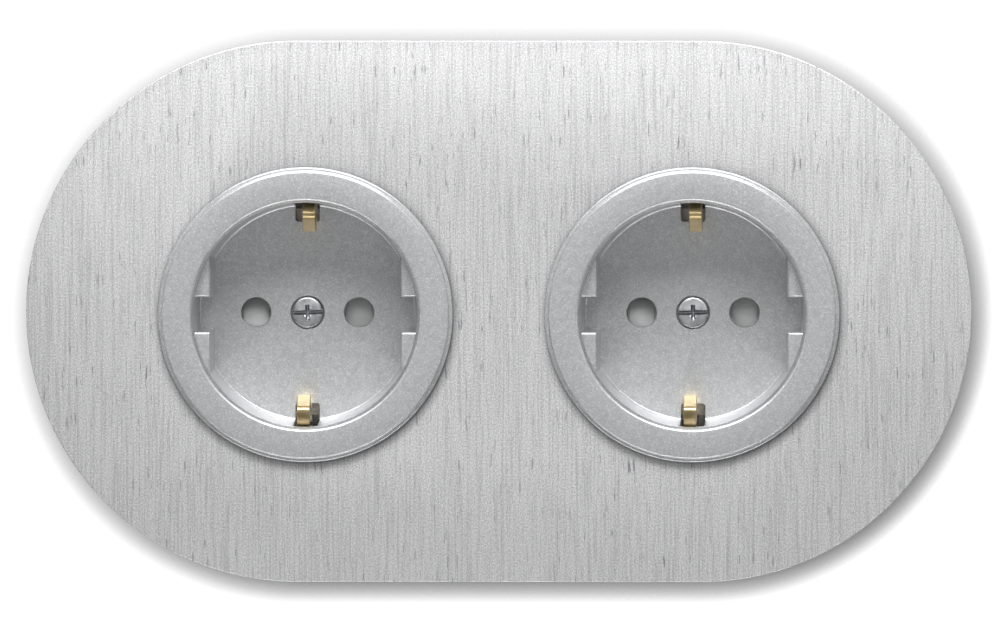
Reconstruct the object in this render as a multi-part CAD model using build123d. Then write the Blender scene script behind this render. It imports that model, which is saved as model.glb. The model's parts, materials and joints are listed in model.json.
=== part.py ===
from build123d import *
import os

# Two-gang earthed socket outlet for flush boxes, in millimetres.
# X runs to the right, Y runs into the wall and Z is up. The origin is on the wall, midway between the gangs.
# Each gang is modelled about its own centre line and is then placed left and right.

# Plate and carrier
gang_pitch = 71.0
plate_end_overlap = 16.1
plate_side_overlap = 14.2
plate_rise = 0.6
plate_face_y = -7.6
plate_thickness = 3.0
plate_edge_radius = 0.5
carrier_inset = 2.0
carrier_wall = 1.8
carrier_web = 1.4
carrier_ring_radius = 33.5
carrier_rib = 1.4
carrier_rib_pitch = 17.0
carrier_opening_gap = 0.7

# Steel strap on the wall
strap_thickness = 1.2
strap_width = 70.4
strap_height = 71.0
strap_chamfer = 10.0
box_screw_spacing = 60.0
box_slot_width = 4.2
box_slot_length = 9.0
strap_corner_hole_radius = 1.8
strap_corner_hole_place = 27.0

# Cover: ring and well
ring_height = 2.5
ring_width = 4.95
ring_overlap = 0.6
flange_width = 0.7
flange_thickness = 0.9
ring_skin = 1.8
ring_edge_fillet = 0.5
lip_softening = 0.35
flange_softening = 0.15
skirt_wall = 1.4
skirt_length = 2.6
skirt_clearance = 0.35
well_mouth_radius = 20.6
well_taper = 0.7
well_wall = 1.6
well_depth = 17.5
lip_slope = 0.8
well_corner = 0.6
floor_thickness = 2.2
rib_count = 12
rib_thickness = 1.2

# Ledges and key grooves in the well
ledge_drop = 3.5
ledge_mouth_half_width = 17.5
ledge_floor_half_width = 17.0
groove_mouth_width = 6.4
groove_floor_width = 5.6
ledge_fillet = 0.4
ledge_root = 0.5

# Pins and holes in the floor
pin_spacing = 19.0
pin_hole_radius = 2.75
hole_chamfer = 0.25
earth_slot_width = 4.5
earth_slot_inner = 16.7
earth_slot_corner = 0.6
earth_slot_drop = 2.2
hub_radius = 4.2

# Cover screw
screw_head_radius = 2.8
screw_head_clearance = 0.32
screw_head_side = 1.6
screw_dome = 0.9
screw_shank_radius = 1.75
screw_hole_clearance = 0.25
screw_seat_depth = 2.2
screw_length = 9.0
screw_slot_width = 0.86
screw_slot_depth = 0.9
screw_cross_length = 2.9
screw_cross_width = 0.75
screw_cross_depth = 1.7
screw_turn = -2.0
screw_tip_chamfer = 0.4
thread_clearance = 0.05

# Shutter and its spring
shutter_clearance = 0.3
shutter_thickness = 2.0
shutter_tip = 12.8
shutter_half_width = 3.1
shutter_corner = 1.2
shutter_pad_width = 4.5
shutter_pad_offset = 0.4
shutter_pad_corner = 1.5
shutter_step = 0.5
shutter_hub_wall = 1.6
shutter_hub_clearance = 0.2
shutter_ramp = 0.8
shutter_ramp_share = 0.6
spring_strip = 0.4
spring_width = 1.6
spring_left_x = -12.4
spring_right_x = -4.6
spring_bottom_z = -11.6
spring_leg = 2.4
spring_lean = 1.6
spring_rise = 3.2
spring_bend = 0.9

# Earth strip
earth_bridge_thickness = 1.2
earth_bridge_width = 5.6
earth_arm_inset = 0.8
earth_arm_foot = 2.4
earth_foot_bend = 1.4
earth_clip_width = 2.4
earth_clip_strip = 0.8
earth_clip_lean = 0.6
earth_clip_crown = 2.5
earth_clip_reach = 2.8
earth_clip_return = 1.8
earth_crown_bend = 0.9
earth_grip_bend = 2.5
earth_clip_shoulder_drop = 4.4
earth_clip_bend_drop = 3.1
earth_clip_grip_drop = 10.0
earth_clip_tip_drop = 15.0
earth_clip_offset_top = 0.6
earth_clip_offset_bottom = -0.4
earth_boss_radius = 3.2
earth_boss_length = 3.0
earth_tail_drop = 5.0
earth_bridge_gap = 1.0

# Base
fit = 0.3
join = 0.4
past = 1.0
base_wall = 1.2
base_step = 2.3
base_flat = 1.4
base_rear_y = 29.0
base_deck = 1.4
base_shell = 1.8
collar_front_y = -1.8
strap_hole_clearance = 0.2
ear_radius = 3.0
ear_depth = 4.0
ear_root = 8.0
rivet_inset = 2.5
rivet_radius = 1.2
rivet_head_radius = 1.8
rivet_head = 0.8
rivet_pocket = 3.0
channel_floor = 1.6
pin_entry_radius = 2.55
pin_funnel = 0.75
coring_wall = 1.6
coring_rib_x = 13.2
screw_boss_wall = 2.5

# Contacts
contact_radius = 3.0
contact_strip = 0.6
contact_length = 10.6
contact_slit = 0.7
contact_slit_start = 3.2
contact_waist = 0.3
contact_flare = 2.6
contact_neck_half = 2.3
chamber_clearance = 0.6
busbar_strip = 0.8
busbar_drop = 1.6
busbar_end_gap = 2.0
busbar_head = 0.8

# Terminals: two wires, a clamp and a release for each pole
terminal_half_width = 4.1
terminal_top_z = -7.1
terminal_bottom_z = -18.2
wire_z = -15.0
wire_spacing = 4.1
wire_radius = 1.6
wire_funnel = 0.5
busbar_z = -17.2
clamp_strip = 0.5
clamp_side_gap = 0.4
clamp_front_gap = 1.8
clamp_reach = 7.4
clamp_slot = 0.9
clamp_bend = 0.8
clamp_knee_width = 2.0
clamp_shoulder = 1.5
clamp_bridge = 1.2
release_width = 5.6
release_top_z = -8.7
release_bottom_z = -12.3
release_nose_gap = 3.9
release_proud = 0.8
release_clearance = 0.3
release_collar = 0.8
release_collar_length = 2.6
release_chamfer = 0.8
release_slot = 0.9
base_cover_thickness = 2.0
base_cover_chamfer = 0.6
base_screw_x = 19.0
base_screw_z = -4.0
base_screw_radius = 1.1
base_screw_length = 8.0
base_screw_head_side = 0.9
base_screw_dome = 0.4

# Spreading claws
claw_screw_gap = 2.0
claw_screw_radius = 1.3
claw_screw_head_radius = 2.6
claw_screw_length = 24.5
claw_screw_head_side = 1.2
claw_screw_dome = 0.6
claw_screw_turn = 12.0
claw_strip = 1.2
claw_height = 8.0
claw_pivot_y = 20.5
claw_leg_gap = 2.2
claw_front_y = 7.0
claw_base_gap = 0.45
claw_tip_length = 2.2
claw_tip_lean = 0.5
claw_teeth = 4
claw_tooth = 1.5
claw_bend = 0.9
claw_hole_clearance = 0.35
lug_radius = 3.0
lug_depth = 3.0
lug_root = 6.0

# Levels and places that follow from the sizes above
plate_length = gang_pitch + strap_width + 2 * plate_end_overlap
plate_height = strap_height + 2 * plate_side_overlap
plate_rear_y = plate_face_y + plate_thickness
ring_face_y = plate_face_y - ring_height
floor_front_y = ring_face_y + well_depth
floor_rear_y = floor_front_y + floor_thickness
shutter_front_y = floor_rear_y + shutter_clearance
pocket_floor_y = shutter_front_y + shutter_thickness + shutter_clearance
bridge_front_y = pocket_floor_y + earth_bridge_gap
bridge_rear_y = bridge_front_y + earth_bridge_thickness
channel_floor_y = bridge_rear_y + channel_floor
clamp_knee_y = channel_floor_y + clamp_front_gap
clamp_tip_y = clamp_knee_y + clamp_reach
release_nose_y = clamp_knee_y + release_nose_gap
chamber_front_y = pocket_floor_y + base_deck
contact_front_y = chamber_front_y + fit
busbar_front_y = contact_front_y + busbar_drop
busbar_half_width = terminal_half_width - fit
cover_inner_y = base_rear_y
cover_rear_y = base_rear_y + base_cover_thickness
busbar_end_y = cover_inner_y - busbar_end_gap
earth_tail_top_z = terminal_top_z - earth_tail_drop
well_floor_radius = well_mouth_radius - well_taper
well_outer_radius = well_mouth_radius + well_wall
lip_outer_radius = well_mouth_radius + lip_slope
ring_outer_radius = lip_outer_radius + ring_width
flange_outer_radius = ring_outer_radius + flange_width
plate_opening_radius = ring_outer_radius - ring_overlap
skirt_radius = plate_opening_radius - skirt_clearance
earth_arm_radius = well_outer_radius - earth_arm_inset
recess_radius = well_outer_radius + fit
collar_radius = recess_radius + base_wall
strap_hole_radius = collar_radius + strap_hole_clearance
rivet_circle = collar_radius + rivet_inset
base_radius = collar_radius + base_step
base_half_width = base_radius - base_flat
claw_inner_x = base_half_width + claw_base_gap
claw_screw_x = base_half_width + claw_screw_gap
claw_leg_x = claw_screw_x + claw_leg_gap
pocket_radius = (shutter_tip**2 + shutter_half_width**2) ** 0.5 + fit
pole_x = pin_spacing / 2
channel_half_width = earth_bridge_width / 2 + fit
chamber_radius = contact_radius + chamber_clearance
rivet_angles = (45, 135, 225, 315)


def slab(sketch, front, rear):
    """Solid of a front-view sketch (x right, y up) between two depths."""
    face = Plane(origin=(0, rear, 0), x_dir=(1, 0, 0), z_dir=(0, -1, 0)) * sketch
    return extrude(face, amount=rear - front)


def turned(points):
    """Solid turned about the depth axis from (radius, depth) points."""
    return revolve(make_face(Polyline(*points, close=True)), Axis.Y)


def disc(radius, front, rear, x=0.0, z=0.0):
    return slab(Pos(x, z) * Circle(radius), front, rear)


def block(x_low, x_high, z_low, z_high, front, rear):
    """Box between two places on each axis."""
    centre = Pos((x_low + x_high) / 2, (z_low + z_high) / 2)
    return slab(centre * Rectangle(x_high - x_low, z_high - z_low), front, rear)


def side_slab(sketch, x_low, x_high):
    """Solid of a side-view sketch (x is height Z, y is depth) between two places along X."""
    face = Plane(origin=(x_low, 0, 0), x_dir=(0, 0, 1), z_dir=(-1, 0, 0)) * sketch
    return extrude(face, amount=x_low - x_high)


def broken(points, setbacks):
    """Outline with each corner cut off flat by its setback."""
    result = []
    for index, setback in enumerate(setbacks):
        corner = Vector(*points[index])
        for neighbour in (points[index - 1], points[(index + 1) % len(points)]):
            cut = corner + (Vector(*neighbour) - corner).normalized() * setback
            result.append((cut.X, cut.Y))
            if setback == 0:
                break
    return result


def bent_strip(points, radii, thickness, width, x=0.0):
    """Strip bent along (height, depth) points and as wide as stated along X."""
    path = FilletPolyline(*points, radius=radii)
    return side_slab(trace(path, thickness), x - width / 2, x + width / 2)


def stadium(length, height):
    return SlotOverall(length, height)


def combination_screw(head_radius, side, dome, shank_radius, length, seat_y, turn):
    """Domed screw with a slot and a short cross, head forward of its seat."""
    crown_y = seat_y - side - dome
    tip = screw_tip_chamfer * shank_radius
    blank = turned(
        [(0, crown_y), (head_radius / 2, crown_y + dome / 4), (head_radius, crown_y + dome),
         (head_radius, seat_y), (shank_radius, seat_y), (shank_radius, seat_y + length - tip),
         (shank_radius - tip, seat_y + length), (0, seat_y + length)]
    )
    slot = slab(Rectangle(3 * head_radius, screw_slot_width), crown_y - past, crown_y + screw_slot_depth)
    scale = head_radius / screw_head_radius
    cross_bar = Rectangle(screw_cross_length * scale, screw_cross_width * scale)
    cross = slab(cross_bar + Rot(0, 0, 90) * cross_bar, crown_y - past, crown_y + screw_cross_depth * scale)
    return Rot(0, turn, 0) * (blank - slot - cross)


def make_cover():
    """One moulding: flange, ring, well with ledges, floor, hub and ribs."""
    profile = [
        (0, floor_front_y),
        (well_floor_radius, floor_front_y),
        (well_mouth_radius, ring_face_y + lip_outer_radius - well_mouth_radius),
        (lip_outer_radius, ring_face_y),
        (ring_outer_radius, ring_face_y),
        (ring_outer_radius, plate_face_y - flange_thickness),
        (flange_outer_radius, plate_face_y - flange_thickness),
        (flange_outer_radius, plate_face_y),
        (skirt_radius, plate_face_y),
        (skirt_radius, plate_face_y + skirt_length),
        (skirt_radius - skirt_wall, plate_face_y + skirt_length),
        (skirt_radius - skirt_wall, ring_face_y + ring_skin),
        (well_outer_radius, ring_face_y + ring_skin),
        (well_outer_radius, floor_rear_y),
        (0, floor_rear_y),
    ]
    setbacks = [0.0] * len(profile)
    setbacks[1] = well_corner
    setbacks[2] = setbacks[3] = lip_softening
    setbacks[6] = flange_softening
    body = turned(broken(profile, setbacks))
    rim = body.edges().filter_by(GeomType.CIRCLE).group_by(Axis.Y)[0].sort_by(SortBy.RADIUS)[-1]
    body = fillet(rim, ring_edge_fillet)

    ledge_front_y = ring_face_y + ledge_drop
    ledge_rear_y = floor_front_y + ledge_root
    wall_middle = (well_mouth_radius + well_outer_radius) / 2
    ledges = disc(wall_middle, ledge_front_y, ledge_rear_y)
    mouth_plane = Plane(origin=(0, ledge_front_y, 0), x_dir=(1, 0, 0), z_dir=(0, -1, 0))
    floor_plane = Plane(origin=(0, ledge_rear_y, 0), x_dir=(1, 0, 0), z_dir=(0, -1, 0))
    across = 3 * wall_middle
    for mouth, floor in (
        ((2 * ledge_mouth_half_width, across), (2 * ledge_floor_half_width, across)),
        ((across, groove_mouth_width), (across, groove_floor_width)),
    ):
        ledges -= loft([mouth_plane * Rectangle(*mouth), floor_plane * Rectangle(*floor)])
    front_edges = ledges.edges().filter_by(GeomType.LINE).group_by(Axis.Y)[0]
    body += fillet(front_edges, ledge_fillet)

    body += disc(hub_radius, floor_rear_y, bridge_front_y)
    rib = block(
        well_outer_radius - join, skirt_radius - skirt_wall + join, -rib_thickness / 2, rib_thickness / 2,
        ring_face_y + ring_skin - join, plate_face_y + skirt_length,
    )
    for index in range(rib_count):
        body += Rot(0, (2 * index + 1) * 180 / rib_count, 0) * rib

    head_hole = screw_head_radius + screw_head_clearance
    body -= disc(head_hole, floor_front_y - past, floor_front_y + screw_seat_depth)
    body -= disc(screw_shank_radius + screw_hole_clearance, floor_front_y, bridge_front_y + past)
    for x in (-pole_x, pole_x):
        body -= disc(pin_hole_radius, floor_front_y - past, floor_rear_y + past, x)
    floor_face = body.faces().filter_by(Plane.XZ).filter_by(
        lambda face: abs(face.center().Y - floor_front_y) < hole_chamfer
    ).sort_by(SortBy.AREA)[-1]
    rims = floor_face.edges().filter_by(GeomType.CIRCLE).filter_by(lambda edge: edge.radius < hub_radius)
    body = chamfer(rims, hole_chamfer)

    slot_outer = well_outer_radius + past
    slot_length = slot_outer - earth_slot_inner
    slot_front_y = ring_face_y + earth_slot_drop
    for side in (-1, 1):
        slot_centre = Pos(0, side * (earth_slot_inner + slot_length / 2))
        slot_shape = slot_centre * RectangleRounded(earth_slot_width, slot_length, earth_slot_corner)
        body -= slab(slot_shape, slot_front_y, floor_rear_y + past)
    return body


def make_cover_screw():
    return combination_screw(
        screw_head_radius, screw_head_side, screw_dome, screw_shank_radius,
        screw_length, floor_front_y + screw_seat_depth, screw_turn,
    )


def make_shutter():
    """Bar turning on the hub, with a stepped pad and a ramp under each pin hole."""
    hub_hole = hub_radius + shutter_hub_clearance
    rear_y = shutter_front_y + shutter_thickness
    bar = RectangleRounded(2 * shutter_tip, 2 * shutter_half_width, shutter_corner)
    shutter = slab(bar, shutter_front_y + shutter_step, rear_y)
    shutter += disc(hub_hole + shutter_hub_wall, shutter_front_y, rear_y)
    pad = RectangleRounded(shutter_pad_width, 2 * shutter_half_width, shutter_pad_corner)
    for side in (-1, 1):
        place = Pos(side * pole_x, side * shutter_pad_offset)
        shutter += slab(place * pad & bar, shutter_front_y, rear_y)
        ramp = Polyline(
            (-side * shutter_half_width, shutter_front_y),
            (-side * shutter_half_width, shutter_front_y + shutter_ramp),
            (shutter_ramp_share * side * shutter_half_width, shutter_front_y),
            close=True,
        )
        ends = sorted((side * (hub_hole + shutter_hub_wall + fit), side * (shutter_tip + past)))
        shutter -= side_slab(make_face(ramp), *ends)
    return shutter - disc(hub_hole, shutter_front_y - past, rear_y + past)


def make_shutter_spring():
    """Flat hairpin spring between its pocket and the shutter's edge."""
    inset = fit + spring_strip / 2
    points = [
        (spring_left_x + inset, spring_bottom_z + spring_leg),
        (spring_left_x + inset + fit, spring_bottom_z + inset),
        (spring_right_x - inset, spring_bottom_z + inset),
        (spring_right_x - spring_lean, spring_bottom_z + spring_rise),
        (-pole_x - spring_lean / 2, -shutter_half_width - inset),
    ]
    path = FilletPolyline(*points, radius=spring_bend)
    middle_y = (floor_rear_y + pocket_floor_y) / 2
    return slab(trace(path, spring_strip), middle_y - spring_width / 2, middle_y + spring_width / 2)


def make_earth_strip():
    """One stamped strip: bridge with a tapped boss, two clips and a busbar tail."""
    middle_y = (bridge_front_y + bridge_rear_y) / 2
    bridge_half = earth_arm_radius - earth_arm_foot
    strip = block(
        -earth_bridge_width / 2, earth_bridge_width / 2, -bridge_half, bridge_half,
        bridge_front_y, bridge_rear_y,
    )
    shoulder = earth_arm_radius - earth_clip_lean
    crown = shoulder - earth_clip_crown
    grip = crown - earth_clip_reach
    clip = [
        (bridge_half - earth_clip_strip, middle_y),
        (earth_arm_radius, middle_y),
        (shoulder, ring_face_y + earth_clip_shoulder_drop),
        (crown, ring_face_y + earth_clip_bend_drop),
        (grip, ring_face_y + earth_clip_grip_drop),
        (grip + earth_clip_return, ring_face_y + earth_clip_tip_drop),
    ]
    radii = [earth_foot_bend, earth_crown_bend, earth_crown_bend, earth_grip_bend]
    for side, offset_x in ((1, earth_clip_offset_top), (-1, earth_clip_offset_bottom)):
        points = [(side * z, y) for z, y in clip]
        strip += bent_strip(points, radii, earth_clip_strip, earth_clip_width, offset_x)
    strip += disc(earth_boss_radius, bridge_rear_y, bridge_rear_y + earth_boss_length)
    strip -= disc(
        screw_shank_radius + thread_clearance, bridge_front_y - past, bridge_rear_y + earth_boss_length + past
    )
    strip += block(
        -busbar_half_width, busbar_half_width,
        busbar_z - busbar_strip / 2, earth_tail_top_z, bridge_front_y, bridge_rear_y,
    )
    strip += block(
        -busbar_half_width, busbar_half_width,
        busbar_z - busbar_strip / 2, busbar_z + busbar_strip / 2, bridge_front_y, busbar_end_y,
    )
    return strip


def make_contact(x):
    """Sprung tulip for the pin, with a bent busbar down to the terminal."""
    front, rear = contact_front_y, contact_front_y + contact_length
    waist_y = rear - contact_flare
    outer = [
        (contact_radius, front), (contact_radius, front + contact_slit_start),
        (contact_radius - contact_waist, waist_y), (contact_radius, rear),
    ]
    inner = [(radius - contact_strip, y) for radius, y in reversed(outer)]
    tulip = turned(outer + inner)
    slit = slab(
        Rectangle(3 * contact_radius, contact_slit) + Rectangle(contact_slit, 3 * contact_radius),
        front + contact_slit_start, rear + past,
    )
    contact = Pos(x, 0, 0) * (tulip - slit)
    busbar_rear_y = busbar_front_y + busbar_strip
    contact += block(
        x - contact_neck_half, x + contact_neck_half,
        terminal_top_z - busbar_head - join, -contact_radius + join, busbar_front_y, busbar_rear_y,
    )
    contact += block(
        x - busbar_half_width, x + busbar_half_width,
        busbar_z - busbar_strip / 2, terminal_top_z - busbar_head, busbar_front_y, busbar_rear_y,
    )
    contact += block(
        x - busbar_half_width, x + busbar_half_width,
        busbar_z - busbar_strip / 2, busbar_z + busbar_strip / 2, busbar_front_y, busbar_end_y,
    )
    return contact


def make_clamp(x):
    """Bent spring strip with two blades that press the wires on the busbar."""
    anchor_z = terminal_top_z - clamp_side_gap
    tip_z = busbar_z + busbar_strip / 2 + fit + clamp_strip
    points = [
        (anchor_z, cover_inner_y - fit),
        (anchor_z, clamp_knee_y + clamp_shoulder),
        (anchor_z - clamp_knee_width, clamp_knee_y),
        (tip_z, clamp_tip_y),
    ]
    clamp = bent_strip(points, clamp_bend, clamp_strip, 2 * (terminal_half_width - clamp_side_gap), x)
    return clamp - block(
        x - clamp_slot / 2, x + clamp_slot / 2, terminal_bottom_z, release_bottom_z + clamp_bridge,
        clamp_knee_y - past, cover_inner_y,
    )


def make_release(x):
    """Push-in plunger that opens the clamp, held in by its collar."""
    half = release_width / 2
    plunger = block(
        x - half, x + half, release_bottom_z, release_top_z, release_nose_y, cover_rear_y + release_proud
    )
    nose_edges = plunger.edges().filter_by(Axis.X).group_by(Axis.Y)[0]
    plunger = chamfer(nose_edges, release_chamfer)
    collar_rear_y = cover_inner_y - release_clearance
    plunger += block(
        x - half - release_collar, x + half + release_collar, release_bottom_z, release_top_z,
        collar_rear_y - release_collar_length, collar_rear_y,
    )
    middle_z = (release_bottom_z + release_top_z) / 2
    slot_rear_y = cover_rear_y + release_proud
    return plunger - block(
        x - half - past, x + half + past, middle_z - release_slot / 2, middle_z + release_slot / 2,
        slot_rear_y - release_slot, slot_rear_y + past,
    )


def base_outline(inset=0.0):
    width = 2 * (base_half_width - inset)
    return Circle(base_radius - inset) & Rectangle(width, 3 * base_radius)


def at_rivet(sketch, angle, inset=0.0):
    """Sketch moved out to the rivet circle at an angle from the X axis."""
    return Rot(0, 0, angle) * Pos(rivet_circle - inset, 0) * sketch


def make_base():
    """Insulating body: collar, recess, shutter pocket, chambers and cored rear."""
    base = disc(collar_radius, collar_front_y, past) + slab(base_outline(), 0, base_rear_y)
    for angle in rivet_angles:
        ear = at_rivet(Circle(ear_radius), angle)
        ear += at_rivet(Rectangle(ear_root, 2 * ear_radius), angle, ear_root / 2)
        base += slab(ear, 0, ear_depth)
    for side in (-1, 1):
        lug = Pos(side * claw_screw_x, 0) * Circle(lug_radius)
        lug += Pos(side * (claw_screw_x - lug_root / 2), 0) * Rectangle(lug_root, 2 * lug_radius)
        base += slab(lug, 0, lug_depth)
    base -= disc(recess_radius, collar_front_y - past, floor_rear_y)
    base -= disc(pocket_radius, floor_rear_y - past, pocket_floor_y)
    base -= disc(hub_radius + fit, floor_rear_y, bridge_front_y)
    base -= block(spring_left_x, spring_right_x, spring_bottom_z, 0, floor_rear_y - past, pocket_floor_y)

    arm_reach = earth_arm_radius + earth_clip_strip / 2 + fit
    base -= block(
        -channel_half_width, channel_half_width, -arm_reach, arm_reach, floor_rear_y - past, bridge_rear_y
    )
    base -= block(
        -terminal_half_width, terminal_half_width, terminal_bottom_z, earth_tail_top_z + fit,
        floor_rear_y - past, bridge_rear_y,
    )
    boss_hole_rear_y = bridge_rear_y + earth_boss_length + 2 * past
    base -= disc(earth_boss_radius + fit, bridge_rear_y - past, boss_hole_rear_y)
    tail_slot = busbar_strip / 2 + fit
    base -= block(
        -terminal_half_width, terminal_half_width, busbar_z - tail_slot, busbar_z + tail_slot,
        bridge_rear_y - past, base_rear_y,
    )

    funnel = turned(
        [(0, pocket_floor_y), (pin_entry_radius + pin_funnel, pocket_floor_y),
         (pin_entry_radius, chamber_front_y), (0, chamber_front_y)]
    )
    slot_half = contact_neck_half + fit
    for x in (-pole_x, pole_x):
        base -= Pos(x, 0, 0) * funnel
        base -= disc(chamber_radius, chamber_front_y, base_rear_y + past, x)
        base -= block(
            x - slot_half, x + slot_half, terminal_top_z - join, 0, busbar_front_y - fit, base_rear_y + past
        )
    for x in (-pole_x, 0, pole_x):
        front = channel_floor_y if x == 0 else busbar_front_y - fit
        base -= block(
            x - terminal_half_width, x + terminal_half_width, terminal_bottom_z, terminal_top_z,
            front, base_rear_y + past,
        )

    core_front_y = channel_floor_y + coring_wall
    coring_low_z = chamber_radius + coring_wall
    coring = Pos(0, coring_low_z + base_radius / 2) * Rectangle(2 * base_radius, base_radius)
    for x in (-coring_rib_x, 0, coring_rib_x):
        coring -= Pos(x, base_radius / 2) * Rectangle(base_wall, 2 * base_radius)
    flank_x = pole_x + terminal_half_width + coring_wall
    flank_z = base_screw_z - base_screw_radius - screw_boss_wall
    for side in (-1, 1):
        flank_centre = Pos(side * (flank_x + base_radius / 2), flank_z - base_radius / 2)
        coring += flank_centre * Rectangle(base_radius, base_radius)
        base -= disc(
            base_screw_radius + thread_clearance, base_rear_y - base_screw_length, base_rear_y + past,
            side * base_screw_x, base_screw_z,
        )
        base -= disc(
            claw_screw_radius + screw_hole_clearance, -past, lug_depth + past, side * claw_screw_x
        )
    base -= slab(base_outline(base_shell) & coring, core_front_y, base_rear_y + past)
    for angle in rivet_angles:
        base -= slab(at_rivet(Circle(rivet_radius + thread_clearance), angle), -past, ear_depth + past)
        base -= slab(at_rivet(Circle(rivet_head_radius + fit), angle), ear_depth, ear_depth + rivet_pocket)
    return base


def make_base_cover():
    """Rear cover with the wire funnels and the release windows."""
    cover = slab(base_outline(), cover_inner_y, cover_rear_y)
    rear_edges = cover.edges().group_by(Axis.Y)[-1]
    cover = chamfer(rear_edges, base_cover_chamfer)
    half = release_width / 2 + release_clearance
    for x in (-pole_x, 0, pole_x):
        cover -= block(
            x - half, x + half, release_bottom_z - release_clearance, release_top_z + release_clearance,
            cover_inner_y - past, cover_rear_y + past,
        )
        for wire_x in (x - wire_spacing / 2, x + wire_spacing / 2):
            funnel = turned(
                [(0, cover_inner_y), (wire_radius, cover_inner_y),
                 (wire_radius, cover_rear_y - wire_funnel), (wire_radius + wire_funnel, cover_rear_y),
                 (0, cover_rear_y)]
            )
            cover -= Pos(wire_x, 0, wire_z) * funnel
    for side in (-1, 1):
        cover -= disc(
            base_screw_radius + screw_hole_clearance, cover_inner_y - past, cover_rear_y + past,
            side * base_screw_x, base_screw_z,
        )
    return cover


def make_base_screws():
    """Two pan head screws through the rear cover, head to the rear."""
    screw = combination_screw(
        2 * base_screw_radius, base_screw_head_side, base_screw_dome, base_screw_radius,
        base_screw_length, 0, 0,
    )
    flipped = Pos(0, cover_rear_y, 0) * Rot(0, 0, 180) * screw
    return Compound([Pos(side * base_screw_x, 0, base_screw_z) * flipped for side in (-1, 1)])


def make_strap():
    """Flat steel ring with box slots, chamfered corners and pressed holes."""
    outline = Rectangle(strap_width, strap_height)
    outline = chamfer(outline.vertices(), strap_chamfer)
    outline -= Circle(strap_hole_radius)
    for side in (-1, 1):
        outline -= Pos(0, side * box_screw_spacing / 2) * SlotOverall(box_slot_length, box_slot_width)
        outline -= Pos(side * claw_screw_x, 0) * Circle(claw_screw_radius + screw_hole_clearance)
        for other in (-1, 1):
            corner = Pos(side * strap_corner_hole_place, other * strap_corner_hole_place)
            outline -= corner * Circle(strap_corner_hole_radius)
    for angle in rivet_angles:
        outline -= at_rivet(Circle(rivet_radius + thread_clearance), angle)
    return slab(outline, -strap_thickness, 0)


def make_strap_rivets():
    """Four rivets through the strap and the ears of the base."""
    front, rear = -strap_thickness, ear_depth
    rivet = turned(
        [(0, front - rivet_head), (rivet_head_radius - rivet_head, front - rivet_head),
         (rivet_head_radius, front), (rivet_radius, front), (rivet_radius, rear), (rivet_head_radius, rear),
         (rivet_head_radius - rivet_head, rear + rivet_head), (0, rear + rivet_head)]
    )
    return Compound([Rot(0, -angle, 0) * Pos(rivet_circle, 0, 0) * rivet for angle in rivet_angles])


def make_claw(side):
    """Bent steel claw: tapped rear flange, leg along the screw and toothed end."""
    points = [
        (claw_inner_x, claw_pivot_y),
        (claw_leg_x, claw_pivot_y),
        (claw_leg_x, claw_front_y + claw_tip_length),
        (claw_leg_x + claw_tip_lean, claw_front_y),
    ]
    path = FilletPolyline(*points, radius=claw_bend)
    top_view = Plane(origin=(0, 0, -claw_height / 2), x_dir=(1, 0, 0), z_dir=(0, 0, 1))
    claw = extrude(top_view * trace(path, claw_strip), amount=claw_height)
    across = Plane(origin=(claw_screw_x, claw_pivot_y, 0), x_dir=(1, 0, 0), z_dir=(0, -1, 0))
    claw -= extrude(across * Circle(claw_screw_radius + claw_hole_clearance), amount=claw_strip, both=True)
    tooth_pitch = claw_height / claw_teeth
    notch = Polygon((-tooth_pitch / 2, 0), (tooth_pitch / 2, 0), (0, -claw_tooth), align=None)
    notch_plane = Plane(
        origin=(claw_leg_x - claw_strip, claw_front_y - claw_strip / 2, 0), x_dir=(0, 0, 1), z_dir=(1, 0, 0)
    )
    for index in range(claw_teeth + 1):
        place = Pos((index - claw_teeth / 2) * tooth_pitch, 0)
        claw -= extrude(notch_plane * place * notch, amount=3 * claw_strip)
    return claw if side > 0 else mirror(claw, Plane.YZ)


def make_claw_screw(side):
    screw = combination_screw(
        claw_screw_head_radius, claw_screw_head_side, claw_screw_dome, claw_screw_radius,
        claw_screw_length, -strap_thickness, claw_screw_turn * side,
    )
    return Pos(side * claw_screw_x, 0, 0) * screw


def make_frame_plate():
    """Brushed plate with two round openings and softly broken edges."""
    outline = Pos(0, plate_rise) * stadium(plate_length, plate_height)
    plate = slab(outline, plate_face_y, plate_rear_y)
    plate = fillet(plate.edges().group_by(Axis.Y)[0], plate_edge_radius)
    for side in (-1, 1):
        plate -= disc(plate_opening_radius, plate_face_y - past, plate_rear_y + past, side * gang_pitch / 2)
    return plate


def make_frame_carrier():
    """Moulded carrier: web, rim on the wall, ring walls and ribs on the straps."""
    length = plate_length - 2 * carrier_inset
    height = plate_height - 2 * carrier_inset
    rise = Pos(0, plate_rise)
    outer = rise * stadium(length, height)
    inner = rise * stadium(length - 2 * carrier_wall, height - 2 * carrier_wall)
    web_rear_y = plate_rear_y + carrier_web
    carrier = slab(outer, plate_rear_y, web_rear_y) + slab(outer - inner, plate_rear_y, 0)
    ribs = rise * Rectangle(carrier_rib, height)
    for side in (-1, 1):
        centre = Pos(side * gang_pitch / 2, 0)
        ring = centre * (Circle(carrier_ring_radius + carrier_rib) - Circle(carrier_ring_radius))
        ribs += ring
        for index in (-1, 0, 1):
            ribs += rise * centre * Pos(index * carrier_rib_pitch, 0) * Rectangle(carrier_rib, height)
    for side in (-1, 1):
        ribs -= Pos(side * gang_pitch / 2, 0) * Circle(carrier_ring_radius)
    carrier += slab(ribs & outer, web_rear_y - join, -strap_thickness)
    opening = skirt_radius + carrier_opening_gap
    for side in (-1, 1):
        carrier -= disc(opening, plate_rear_y - past, 0, side * gang_pitch / 2)
    return carrier


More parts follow.
